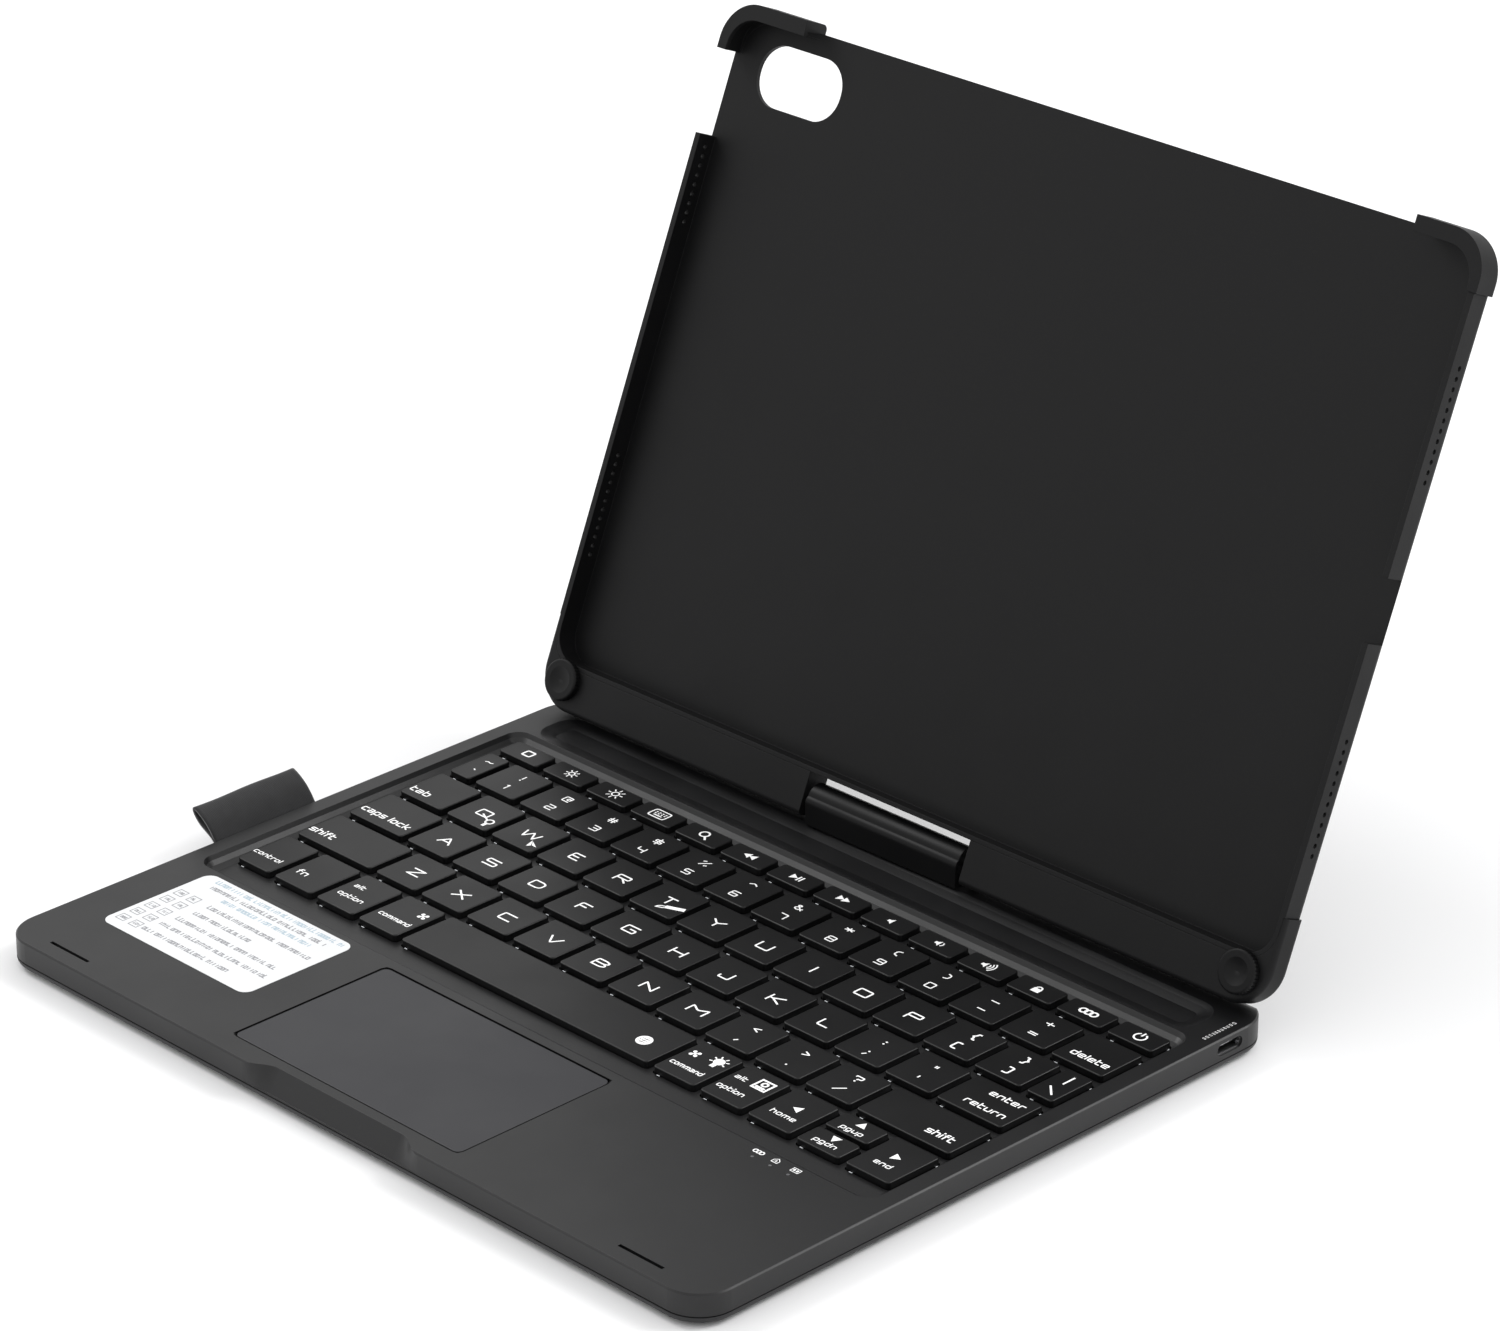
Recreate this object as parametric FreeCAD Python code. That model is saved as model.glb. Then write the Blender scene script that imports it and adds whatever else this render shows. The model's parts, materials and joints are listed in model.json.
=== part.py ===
import FreeCAD, Part
import math
import os

# Tablet keyboard case: a thin keyboard base, a hinge that swivels and tilts, and a tray that holds a tablet.
# Millimetres, +Z up, +X to the user's right, +Y away from the user.
# Origin: on the table, under the centre of the base.

V = FreeCAD.Vector
os.makedirs("parts", exist_ok=True)

# base
BASE_W = 250.6
BASE_D = 195.0
BASE_TOP = 9.0
BASE_BOTTOM = 0.8
PARTING_Z = 3.2
CORNER_R = 10.2
REAR_ROLL_R = 3.0
DECK_T = 1.4
WALL_T = 1.8
COVER_T = 1.2
FRONT = -BASE_D / 2
REAR = BASE_D / 2
HALF_W = BASE_W / 2

# keyboard
WELL_HALF_W = 120.0
WELL_Y0 = FRONT + 59.3
WELL_Y1 = FRONT + 170.8
WELL_DEPTH = 2.8
WELL_FLOOR_T = 1.0
KEY_FIELD_X0 = -116.0
KEY_FIELD_X1 = 116.3
KEY_W = 15.0
KEY_D = 14.9
KEY_GAP = 2.15
KEY_TOP = BASE_TOP - 0.95
KEY_H = 2.45
KEY_CLEAR = 0.3
KEY_TRAVEL = 1.2
PLATE_Z = 3.3
MEMBRANE_Z = 3.7
MEMBRANE_TOP = 4.0

# pencil loop, measured from the front edge
LOOP_Y0 = 70.6
LOOP_Y1 = 103.9

# trackpad
PAD_X0 = -42.8
PAD_X1 = 37.8
PAD_Y0 = FRONT + 7.0
PAD_Y1 = FRONT + 55.8
PAD_GAP = 0.45

# hinge
AXIS_Y = FRONT + 190.0
AXIS_Z = BASE_TOP + 6.4
TILT_DEG = 22.8
SWIVEL_DEG = 1.0
ARM_HALF_W = 26.3
BARREL_R = 3.9
POST_R = 2.6
TILT_PIN_R = 1.5
RUNNING = 0.04

# tablet tray, in its own upright frame: v up from the chin's lower edge, w forward from the rim plane
TRAY_HALF_W = 126.0
NOTCH_TOP_V = 11.2
POCKET_HALF_W = 124.3
TRAY_T = 7.7
BACK_T = 1.4
POCKET_V = 13.0
TUB_T = 1.2
PLATE_TOP_V = 192.9
CLIP_TOP_V = 195.2
LEG_TOP_V = 24.5
AXIS_V = 5.6
AXIS_W = -3.8
NOTCH_HALF_W = 28.0
PUCK_X = 118.0
PUCK_V = 8.25
PUCK_R = 5.7
PUCK_H = 2.0


def box(x0, x1, y0, y1, z0, z1):
    return Part.makeBox(x1 - x0, y1 - y0, z1 - z0, V(x0, y0, z0))


def outline(x0, x1, y0, y1, r, z):
    k = r * (1 - math.sqrt(0.5))
    arcs = [
        ((x1 - r, y0), (x1 - k, y0 + k), (x1, y0 + r)),
        ((x1, y1 - r), (x1 - k, y1 - k), (x1 - r, y1)),
        ((x0 + r, y1), (x0 + k, y1 - k), (x0, y1 - r)),
        ((x0, y0 + r), (x0 + k, y0 + k), (x0 + r, y0)),
    ]
    edges = []
    for i, arc in enumerate(arcs):
        a, b, c = [V(px, py, z) for px, py in arc]
        edges.append(Part.Arc(a, b, c).toShape())
        nx = arcs[(i + 1) % 4][0]
        edges.append(Part.makeLine(c, V(nx[0], nx[1], z)))
    return Part.Wire(edges)


def slab(x0, x1, y0, y1, z0, z1, r):
    face = Part.Face(outline(x0, x1, y0, y1, r, z0))
    return face.extrude(V(0, 0, z1 - z0))


def cyl(r, h, x, y, z, axis=V(0, 0, 1)):
    return Part.makeCylinder(r, h, V(x, y, z), axis)


def edges_at_z(shape, z):
    found = []
    for e in shape.Edges:
        b = e.BoundBox
        if abs(b.ZMin - z) < 1e-4 and abs(b.ZMax - z) < 1e-4:
            found.append(e)
    return found


def save(name, shape):
    solids = [s for s in shape.Solids]
    out = solids[0] if len(solids) == 1 else Part.makeCompound(solids)
    if not solids or not all(s.isValid() for s in solids):
        raise RuntimeError("bad solid in " + name)
    out.exportStep("parts/" + name + ".step")


# ---------------------------------------------------------------- keys

def key_rects():
    left = KEY_FIELD_X0
    right = KEY_FIELD_X1
    pitch = KEY_W + KEY_GAP
    keys = {}

    def one(name, x0, x1, y0, depth=KEY_D):
        keys.setdefault(name, []).append((x0, x1, FRONT + y0, FRONT + y0 + depth))

    def strip(names, widths, y0, depth):
        x = left
        for name, width in zip(names, widths):
            one(name, x, x + width, y0, depth)
            x += width + KEY_GAP

    def row(name, first, count, y0, left_key, right_key):
        """Equal keys with centres from first, and a wider key filling the field at each end."""
        edge = KEY_W / 2
        last = first + (count - 1) * pitch
        one(left_key, left, first - edge - KEY_GAP, y0)
        for i in range(count):
            cx = first + i * pitch
            one(name, cx - edge, cx + edge, y0)
        one(right_key, last + edge + KEY_GAP, right, y0)

    row("keys_z_row", -77.95, 10, 89.45, "key_shift_left", "key_shift_right")
    row("keys_a_row", -85.9, 11, 107.05, "key_caps_lock", "key_enter")
    row("keys_q_row", -90.35, 12, 124.65, "key_tab", "keys_q_row")
    row("keys_number_row", -98.75, 12, 142.15, "keys_number_row", "key_delete")
    top_w = (right - left - 13 * KEY_GAP) / 14
    strip(["keys_function_row"] * 13 + ["key_power"], [top_w] * 14, 159.7, 7.5)
    bottom = ["key_control", "key_fn", "key_alt_left", "key_meta_left", "key_space", "key_meta_right",
              "key_alt_right"]
    strip(bottom, [12.1, 14.2, 13.9, 14.1, 88.6, 13.9, 13.8], 69.5, 17.3)
    one("key_arrow_left", 69.7, 83.7, 69.5, 17.3)
    one("key_arrow_down", 86.0, 99.9, 69.5, 7.9)
    one("key_arrow_up", 86.0, 99.9, 79.0, 7.8)
    one("key_arrow_right", 102.1, right, 69.5, 17.3)
    return keys


def key_cap(rect):
    x0, x1, y0, y1 = rect
    z0 = KEY_TOP - KEY_H
    cap = slab(x0, x1, y0, y1, z0, KEY_TOP, 1.0)
    cap = cap.makeFillet(0.35, edges_at_z(cap, KEY_TOP))
    hollow = slab(x0 + 0.9, x1 - 0.9, y0 + 0.9, y1 - 0.9, z0 - 1, KEY_TOP - 0.8, 0.4)
    return cap.cut(hollow)


def make_keys(keys):
    for name, rects in keys.items():
        save(name, Part.makeCompound([key_cap(r) for r in rects]))


def dome(rect):
    x0, x1, y0, y1 = rect
    small = min(x1 - x0, y1 - y0) < 9
    r = 1.2 if small else 2.2
    h = KEY_TOP - 0.85 - MEMBRANE_TOP
    return Part.makeCone(r, r * 0.55, h, V((x0 + x1) / 2, (y0 + y1) / 2, MEMBRANE_TOP))


def scissor(rect):
    x0, x1, y0, y1 = rect
    cx = (x0 + x1) / 2
    cy = (y0 + y1) / 2
    w = min(x1 - x0 - 2.6, 11.0)
    d = min(y1 - y0 - 2.6, 9.0)
    half = d / 2
    mid = (MEMBRANE_TOP + KEY_TOP - 0.8) / 2
    lift = math.degrees(math.asin(min(0.32, 1.05 / half)))
    bar = 0.7
    outer = box(-w / 2, w / 2, -half, half, -0.3, 0.3)
    outer = outer.cut(box(-w / 2 + bar, w / 2 - bar, -half + bar, half - bar, -1, 1))
    iw = w / 2 - bar - 0.15
    inner = box(-iw, iw, -half, half, -0.3, 0.3)
    inner = inner.cut(box(-iw + bar, iw - bar, -half + bar, half - bar, -1, 1))
    outer.rotate(V(0, 0, 0), V(1, 0, 0), lift)
    inner.rotate(V(0, 0, 0), V(1, 0, 0), -lift)
    outer.translate(V(cx, cy, mid))
    inner.translate(V(cx, cy, mid))
    return [outer, inner]


def make_key_works(keys):
    rects = [r for group in keys.values() for r in group]
    save("rubber_domes", Part.makeCompound([dome(r) for r in rects]))
    frames = []
    for r in rects:
        frames += scissor(r)
    save("scissor_frames", Part.makeCompound(frames))
    w = 118.2
    y0 = FRONT + 67.0
    y1 = FRONT + 169.5
    save("key_membrane", slab(-w, w, y0, y1, MEMBRANE_Z, MEMBRANE_TOP, 2))
    save("key_plate", slab(-w, w, y0, y1, PLATE_Z, MEMBRANE_Z, 2))
    save("backlight_sheet", slab(-w + 1, w - 1, y0 + 1, y1 - 1, PLATE_Z - 0.4, PLATE_Z, 2))


# ---------------------------------------------------------------- base shells

def well_tool():
    sections = [(-1.0, 0.5), (0.0, 0.0), (0.7, -1.2), (1.8, -2.2), (3.6, -WELL_DEPTH)]
    wires = []
    for inset, drop in sections:
        r = max(4.5 - inset, 0.8)
        wires.append(outline(-WELL_HALF_W + inset, WELL_HALF_W - inset,
                             WELL_Y0 + inset, WELL_Y1 - inset, r, BASE_TOP + drop))
    return Part.makeLoft(wires, True, True)


def trough_tool():
    y0 = FRONT + 171.4
    y1 = FRONT + 186.5
    sections = [(-1.2, 0.5), (0.0, 0.0), (1.6, -0.5), (4.2, -1.1)]
    wires = []
    for inset, drop in sections:
        r = max(6.0 - inset, 1.2)
        wires.append(outline(-116.0 + inset, 116.0 - inset, y0 + inset, y1 - inset, r, BASE_TOP + drop))
    return Part.makeLoft(wires, True, True)


def thumb_notch_tool():
    # plan curve of the recess at deck level, extruded down a slope to the parting line
    def plan(depth, z):
        y = FRONT + depth
        f = FRONT - 2.0
        left = Part.BezierCurve()
        left.setPoles([V(-31.5, FRONT, z), V(-27.5, FRONT, z), V(-26.0, y, z), V(-22.0, y, z)])
        right = Part.BezierCurve()
        right.setPoles([V(22.0, y, z), V(26.0, y, z), V(27.5, FRONT, z), V(31.5, FRONT, z)])
        edges = [
            left.toShape(),
            Part.makeLine(V(-22.0, y, z), V(22.0, y, z)),
            right.toShape(),
            Part.makeLine(V(31.5, FRONT, z), V(31.5, f, z)),
            Part.makeLine(V(31.5, f, z), V(-31.5, f, z)),
            Part.makeLine(V(-31.5, f, z), V(-31.5, FRONT, z)),
        ]
        return Part.Wire(edges)

    return Part.makeLoft([plan(3.9, BASE_TOP + 0.5), plan(0.4, PARTING_Z + 0.2)], True, True)


def usb_tool(grow, x0, x1):
    y = FRONT + 178.2
    z = BASE_TOP - 3.0
    w = 4.5 + grow
    h = 1.6 + grow
    body = slab(y - w, y + w, z - h, z + h, x0, x1, h - 0.01)
    body.rotate(V(0, 0, 0), V(1, 1, 1), 120)
    return body


def slot_rects():
    y = FRONT + 5.2
    return [(-111.0, -96.3, y - 0.5, y + 0.5), (94.1, 108.6, y - 0.5, y + 0.5)]


def led_points():
    return [(86.5, FRONT + 54.8), (92.4, FRONT + 54.8), (98.3, FRONT + 54.8)]


def screw_points():
    front = [(x, FRONT + 11.0) for x in (-112.0, -58.0, 58.0, 112.0)]
    rear = [(x, REAR - 18.5) for x in (-112.0, -40.0, 40.0, 112.0)]
    return front + rear


def foot_points():
    corners = [(sx * 104.0, y) for sx in (-1, 1) for y in (FRONT + 24.0, REAR - 34.0)]
    return corners + [(0.0, 0.0)]


def make_top_deck(keys):
    shell = slab(-HALF_W, HALF_W, FRONT, REAR, PARTING_Z, BASE_TOP, CORNER_R)
    shell = shell.makeChamfer(0.4, edges_at_z(shell, BASE_TOP))
    roll = box(-HALF_W - 1, HALF_W + 1, REAR - REAR_ROLL_R, REAR + 1, BASE_TOP - REAR_ROLL_R, BASE_TOP + 1)
    barrel = Part.makeCylinder(REAR_ROLL_R, 2 * HALF_W + 4, V(-HALF_W - 2, REAR - REAR_ROLL_R,
                                                              BASE_TOP - REAR_ROLL_R), V(1, 0, 0))
    shell = shell.cut(roll.cut(barrel))
    inner = slab(-HALF_W + WALL_T, HALF_W - WALL_T, FRONT + WALL_T, REAR - WALL_T, PARTING_Z - 1,
                 BASE_TOP - DECK_T, CORNER_R - WALL_T)
    floor_z = BASE_TOP - WELL_DEPTH - WELL_FLOOR_T
    m = 1.4
    under_well = slab(-WELL_HALF_W - m, WELL_HALF_W + m, WELL_Y0 - m, WELL_Y1 + m, floor_z,
                      BASE_TOP - DECK_T + 0.5, 4.0)
    trough_pan = slab(-117.0, 117.0, WELL_Y1, FRONT + 188.0, BASE_TOP - 2.4, BASE_TOP - DECK_T + 0.5, 3.0)
    boss = cyl(5.2, 3.0, 0, AXIS_Y, BASE_TOP - 4.4)
    front_rib = box(-34.0, 34.0, FRONT + 1.0, FRONT + 5.6, PARTING_Z, BASE_TOP)
    inner = inner.cut(Part.makeCompound([under_well, trough_pan, boss, front_rib]))
    shell = shell.cut(inner)
    cuts = [thumb_notch_tool(), usb_tool(0.0, 110.0, 130.0), loop_slot(0.02)]
    cuts.append(slab(PAD_X0 - PAD_GAP, PAD_X1 + PAD_GAP, PAD_Y0 - PAD_GAP, PAD_Y1 + PAD_GAP,
                     BASE_TOP - 3, BASE_TOP + 1, 2.2))
    cuts.append(cyl(3.7, 10.0, 0, AXIS_Y, BASE_TOP - 7))
    for x0, x1, y0, y1 in slot_rects():
        cuts.append(box(x0, x1, y0, y1, BASE_TOP - 0.9, BASE_TOP + 1))
    for x, y in led_points():
        cuts.append(cyl(0.45, 6.0, x, y, BASE_TOP - 3))
    shell = shell.cut(Part.makeCompound(cuts))
    shell = shell.cut(well_tool())
    shell = shell.cut(trough_tool())
    holes = []
    for group in keys.values():
        for x0, x1, y0, y1 in group:
            c = KEY_CLEAR
            holes.append(slab(x0 - c, x1 + c, y0 - c, y1 + c, floor_z - 1, BASE_TOP + 1, 1.2))
    shell = shell.cut(Part.makeCompound(holes))
    posts = []
    for x, y in screw_points():
        post = cyl(2.4, BASE_TOP - DECK_T - PARTING_Z + 0.8, x, y, PARTING_Z - 0.8 + 0.2)
        posts.append(post.cut(cyl(0.9, 3.4, x, y, PARTING_Z - 1)))
    for x in (PAD_X0 - 4.0, PAD_X1 + 4.0):
        for y in (PAD_Y0 + 8.0, PAD_Y1 - 8.0):
            posts.append(cyl(1.2, 1.1, x, y, BASE_TOP - DECK_T - 1.0))
    shell = shell.fuse(posts)
    save("top_deck", shell)


def make_bottom_cover():
    blank = slab(-HALF_W, HALF_W, FRONT, REAR, BASE_BOTTOM, PARTING_Z, CORNER_R)
    blank = blank.makeFillet(2.0, edges_at_z(blank, BASE_BOTTOM))
    groove = slab(-HALF_W - 1, HALF_W + 1, FRONT - 1, REAR + 1, PARTING_Z - 0.35, PARTING_Z + 0.1, CORNER_R)
    groove = groove.cut(slab(-HALF_W + 0.4, HALF_W - 0.4, FRONT + 0.4, REAR - 0.4, PARTING_Z - 1,
                             PARTING_Z + 1, CORNER_R - 0.4))
    cover = blank.cut(groove)
    i = WALL_T + 0.6
    cover = cover.cut(slab(-HALF_W + i, HALF_W - i, FRONT + i, REAR - i, BASE_BOTTOM + COVER_T,
                           PARTING_Z + 1, CORNER_R - i))
    bosses = []
    holes = []
    for x, y in screw_points():
        bosses.append(cyl(2.4, PARTING_Z - 0.6 - BASE_BOTTOM, x, y, BASE_BOTTOM))
        holes.append(cyl(1.1, 5, x, y, BASE_BOTTOM - 1))
        holes.append(cyl(1.9, 1.7, x, y, BASE_BOTTOM - 1))
    for x, y in foot_points():
        holes.append(cyl(5.0, 1.4, x, y, BASE_BOTTOM - 1))
    cover = cover.fuse(bosses).cut(Part.makeCompound(holes))
    save("bottom_cover", cover)


def make_cover_hardware():
    screws = []
    for x, y in screw_points():
        head = cyl(1.7, 0.6, x, y, BASE_BOTTOM + 0.05)
        socket = cyl(0.7, 0.3, x, y, BASE_BOTTOM)
        screws.append(head.fuse(cyl(0.88, 4.3, x, y, BASE_BOTTOM + 0.5)).cut(socket))
    save("cover_screws", Part.makeCompound(screws))
    feet = []
    for x, y in foot_points():
        foot = cyl(5.0, BASE_BOTTOM + 0.4, x, y, 0)
        feet.append(foot.makeFillet(0.3, edges_at_z(foot, 0)))
    save("rubber_feet", Part.makeCompound(feet))


def make_base_internals():
    floor = BASE_BOTTOM + COVER_T
    save("battery_left", slab(-106.0, -50.0, FRONT + 16.0, FRONT + 54.0, floor, floor + 3.6, 2.0))
    save("battery_right", slab(46.0, 84.0, FRONT + 16.0, FRONT + 54.0, floor, floor + 3.6, 2.0))
    board = box(20.0, 121.0, FRONT + 172.5, FRONT + 184.0, floor, floor + 1.0)
    for i in range(4):
        x = 48.0 + 13.0 * i
        board = board.fuse(box(x, x + 8.0, FRONT + 174.5, FRONT + 181.0, floor + 1.0, floor + 2.1))
    for x, y in screw_points():
        board = board.cut(cyl(2.8, 4.0, x, y, floor - 1))
    save("main_board", board)
    led_board = box(84.5, 103.0, FRONT + 52.6, FRONT + 57.0, BASE_TOP - 2.6, BASE_TOP - 2.0)
    save("status_led_board", led_board)
    lights = []
    for x, y in led_points():
        lights.append(cyl(0.45, 1.95, x, y, BASE_TOP - 2.0))
    save("status_leds", Part.makeCompound(lights))
    shell = usb_tool(-0.02, 117.5, 124.6)
    shell = shell.cut(usb_tool(-0.35, 118.2, 126.0))
    tongue = box(118.0, 123.2, FRONT + 178.2 - 3.2, FRONT + 178.2 + 3.2, BASE_TOP - 3.35, BASE_TOP - 2.65)
    seat = box(117.6, 120.8, FRONT + 178.2 - 3.6, FRONT + 178.2 + 3.6, floor + 1.0, BASE_TOP - 4.3)
    save("usb_c_socket", shell.fuse([tongue, seat]))
    sticker = slab(-112.0, -56.3, FRONT + 21.6, FRONT + 57.4, BASE_TOP, BASE_TOP + 0.1, 3.0)
    save("reference_sticker", sticker)


def make_trackpad():
    pad = slab(PAD_X0, PAD_X1, PAD_Y0, PAD_Y1, BASE_TOP - 1.5, BASE_TOP - 0.06, 1.8)
    pad = pad.makeFillet(0.15, edges_at_z(pad, BASE_TOP - 0.06))
    flange = box(PAD_X0 + 2, PAD_X1 - 2, PAD_Y0 - 1.2, PAD_Y1 + 1.2, BASE_TOP - 1.95, BASE_TOP - DECK_T - 0.04)
    flange = flange.cut(box(-34.0, 34.0, FRONT, FRONT + 5.9, 0, BASE_TOP))
    save("trackpad_pad", pad.fuse(flange))
    x0 = PAD_X0 - 6.0
    x1 = PAD_X1 + 6.0
    z = BASE_TOP - DECK_T - 1.0
    board = box(x0, x1, PAD_Y0 + 1.0, PAD_Y1 + 1.5, z - 0.6, z)
    board = board.fuse(box(-12.0, 8.0, PAD_Y0 + 16.0, PAD_Y0 + 30.0, z - 1.8, z - 0.6))
    board = board.fuse(cyl(2.4, 0.1, -2.5, PAD_Y0 + 10.0, z))
    save("trackpad_board", board)


def loop_slot(grow):
    y0 = FRONT + LOOP_Y0
    y1 = FRONT + LOOP_Y1
    z = BASE_TOP - 1.9
    return box(-HALF_W - 1.0, -HALF_W + 0.9 + grow, y0 - grow, y1 + grow, z - 0.5 - grow, z + 0.5 + grow)


def make_pencil_loop():
    # elastic band folded into a flat drop-shaped ring, its root held in a slot in the left wall
    y0 = FRONT + LOOP_Y0
    y1 = FRONT + LOOP_Y1
    outer = [(-126.0, -1.5), (-127.3, -0.4), (-129.6, 0.6), (-132.1, 1.7), (-134.1, 3.4), (-135.1, 5.2),
             (-135.0, 6.5), (-133.6, 6.6), (-131.4, 5.5), (-129.2, 3.7), (-127.4, 1.8), (-126.2, -0.3)]
    inner = [(-127.5, 0.7), (-129.7, 1.5), (-131.7, 2.5), (-133.3, 3.9), (-134.2, 5.2), (-134.0, 5.75),
             (-132.8, 5.2), (-130.3, 3.5), (-128.3, 1.8)]

    def tube(points, a, b):
        curve = Part.BSplineCurve()
        curve.interpolate([V(x, a, BASE_TOP + z) for x, z in points], PeriodicFlag=True)
        return Part.Face(Part.Wire(curve.toShape())).extrude(V(0, b - a, 0))

    band = tube(outer, y0, y1).cut(tube(inner, y0 - 1, y1 + 1))
    root = loop_slot(0.0).common(box(-127.0, 0, y0, y1, 0, 20))
    save("pencil_loop", band.fuse(root).removeSplitter())


# ---------------------------------------------------------------- hinge

def make_hinge():
    z0 = BASE_TOP + 0.35
    block = box(-ARM_HALF_W, ARM_HALF_W, AXIS_Y - 4.7, AXIS_Y + 4.7, z0, BASE_TOP + 8.2)
    lower = [e for e in block.Edges if abs(e.BoundBox.ZMin - e.BoundBox.ZMax) < 1e-6 and
             e.BoundBox.ZMin > z0 + 1 and e.BoundBox.XLength > 10]
    block = block.makeFillet(2.0, lower)
    barrel = cyl(BARREL_R, 2 * ARM_HALF_W, -ARM_HALF_W, AXIS_Y, AXIS_Z, V(1, 0, 0))
    arm = block.fuse(barrel)
    post = cyl(POST_R, z0 + 0.5 - (BASE_TOP - 4.95), 0, AXIS_Y, BASE_TOP - 4.95)
    arm = arm.fuse(post).removeSplitter()
    for sx in (-1, 1):
        x = 12.0 if sx > 0 else -30.0
        arm = arm.cut(cyl(TILT_PIN_R + RUNNING, 18.0, x, AXIS_Y, AXIS_Z, V(1, 0, 0)))
    arm = arm.cut(cyl(0.8, 3.4, 0, AXIS_Y, BASE_TOP - 5.5))
    save("hinge_arm", swivelled(arm))
    bush = cyl(3.7, 4.8, 0, AXIS_Y, BASE_TOP - 4.9)
    save("swivel_bush", bush.cut(cyl(POST_R + RUNNING, 9.0, 0, AXIS_Y, BASE_TOP - 6)))
    washer = cyl(3.15, 0.4, 0, AXIS_Y, BASE_TOP - 5.35)
    washer = washer.cut(cyl(0.85, 2, 0, AXIS_Y, BASE_TOP - 6))
    save("swivel_washer", washer)
    screw = cyl(2.2, 1.0, 0, AXIS_Y, BASE_TOP - 6.35)
    screw = screw.fuse(cyl(0.78, 3.4, 0, AXIS_Y, BASE_TOP - 5.6))
    screw = screw.cut(cyl(0.8, 0.4, 0, AXIS_Y, BASE_TOP - 6.4))
    save("swivel_screw", screw)


# ---------------------------------------------------------------- tablet tray

def upright(shape):
    # tray frame (x, v as Y, w as Z) to the upright row frame, then leaned back
    s = shape.copy()
    s.rotate(V(0, 0, 0), V(1, 0, 0), 90)
    s.translate(V(0, AXIS_Y + AXIS_W, AXIS_Z - AXIS_V))
    s.rotate(V(0, AXIS_Y, AXIS_Z), V(1, 0, 0), -TILT_DEG)
    return swivelled(s)


def swivelled(shape):
    # the hinge arm and the tray stand slightly turned on the base
    s = shape.copy()
    s.rotate(V(0, AXIS_Y, 0), V(0, 0, 1), SWIVEL_DEG)
    return s


def back_fillet(shape, r):
    return shape.makeFillet(r, edges_at_z(shape, -TRAY_T))


def side_holes():
    tool = []

    def row(sign, count, v0, v1):
        for i in range(count):
            v = v0 + (v1 - v0) * i / (count - 1)
            x = 120.0 if sign > 0 else -130.0
            tool.append(cyl(0.65, 10.0, x, v, -3.3, V(1, 0, 0)))

    row(1, 12, 134.6, 163.0)
    row(1, 12, 40.5, 69.5)
    row(-1, 9, 134.4, 155.1)
    row(-1, 12, 41.8, 69.6)
    return tool


def chin_zone(grow):
    # everything the chin piece may fill: below the tub and outside its lower corners
    low = box(-140, 140, -5, LEG_TOP_V + grow, -TRAY_T - 2, 2)
    half = POCKET_HALF_W + TUB_T + 0.02 - grow
    tub = slab(-half, half, POCKET_V - TUB_T - 0.02 + grow, 400, -TRAY_T - 3, 3, 8.0 + TUB_T)
    return low.cut(tub)


def make_tray():
    body = back_fillet(slab(-TRAY_HALF_W, TRAY_HALF_W, 0, PLATE_TOP_V, -TRAY_T, 0, 10.5), 2.4)
    pocket = slab(-POCKET_HALF_W, POCKET_HALF_W, POCKET_V, 400, -TRAY_T + BACK_T, 2, 8.0)
    tray = body.cut(pocket)
    plate_low = box(-140, 140, -5, POCKET_V - TUB_T, -TRAY_T + BACK_T, 2)
    tray = tray.cut(plate_low)
    chin = chin_zone(0.0)
    keep = slab(-118.0, 118.0, 1.6, 60, -TRAY_T - 3, -TRAY_T + BACK_T, 7.0)
    tray = tray.cut(chin.cut(keep))
    tray = tray.cut(clip_zone(-1, 0.0)).cut(clip_zone(1, 0.0))
    cuts = side_holes()
    cuts.append(box(-130, -POCKET_HALF_W + 0.2, 158.3, 181.35, -TRAY_T + BACK_T, 2))
    cuts.append(box(POCKET_HALF_W - 0.2, 130, 94.0, 110.4, -TRAY_T + BACK_T, 2))
    cuts.append(slab(-101.3 - 15.0, -101.3 + 15.0, 178.5 - 8.4, 178.5 + 8.4, -10, 1, 8.0))
    cuts.append(box(-NOTCH_HALF_W, NOTCH_HALF_W, -2, NOTCH_TOP_V, -10, 3))
    cuts.append(box(-102, 102, PLATE_TOP_V, 200, -3, 3))
    for x in bracket_screw_x():
        cuts.append(cyl(0.9, 4.0, x, AXIS_V + 3.6, -TRAY_T - 2))
    tray = tray.cut(Part.makeCompound(cuts))
    save("tablet_tray", upright(tray))


def clip_zone(sign, grow):
    # plan region of the corner clip: over the corner and a little of both edges
    x_in = 98.5 if sign < 0 else 104.0
    x_in += grow
    lo = 181.35 + grow
    a = box(sign * x_in if sign > 0 else -140, 140 if sign > 0 else -x_in, lo, 240, -TRAY_T - 3, 3)
    half = POCKET_HALF_W - 0.6 + grow
    top = PLATE_TOP_V - 1.9 + grow
    core = slab(-half, half, 20, top, -TRAY_T - 4, 4, 8.3)
    return a.cut(core)


def make_corner_clips():
    for sign, name in ((-1, "corner_bumper_left"), (1, "corner_bumper_right")):
        half = 126.7
        blank = slab(-half, half, 100, CLIP_TOP_V, -TRAY_T - 0.3, 0.3, 11.0)
        blank = blank.makeFillet(1.6, edges_at_z(blank, -TRAY_T - 0.3))
        clip = blank.common(clip_zone(sign, 0.02))
        pocket = slab(-POCKET_HALF_W, POCKET_HALF_W, 20, PLATE_TOP_V - 0.6, -TRAY_T + BACK_T, 0.4 - 1.4, 8.0)
        clip = clip.cut(pocket)
        save(name, upright(clip))


def bracket_screw_x():
    return [-62.0, -50.0, 50.0, 62.0]


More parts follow.
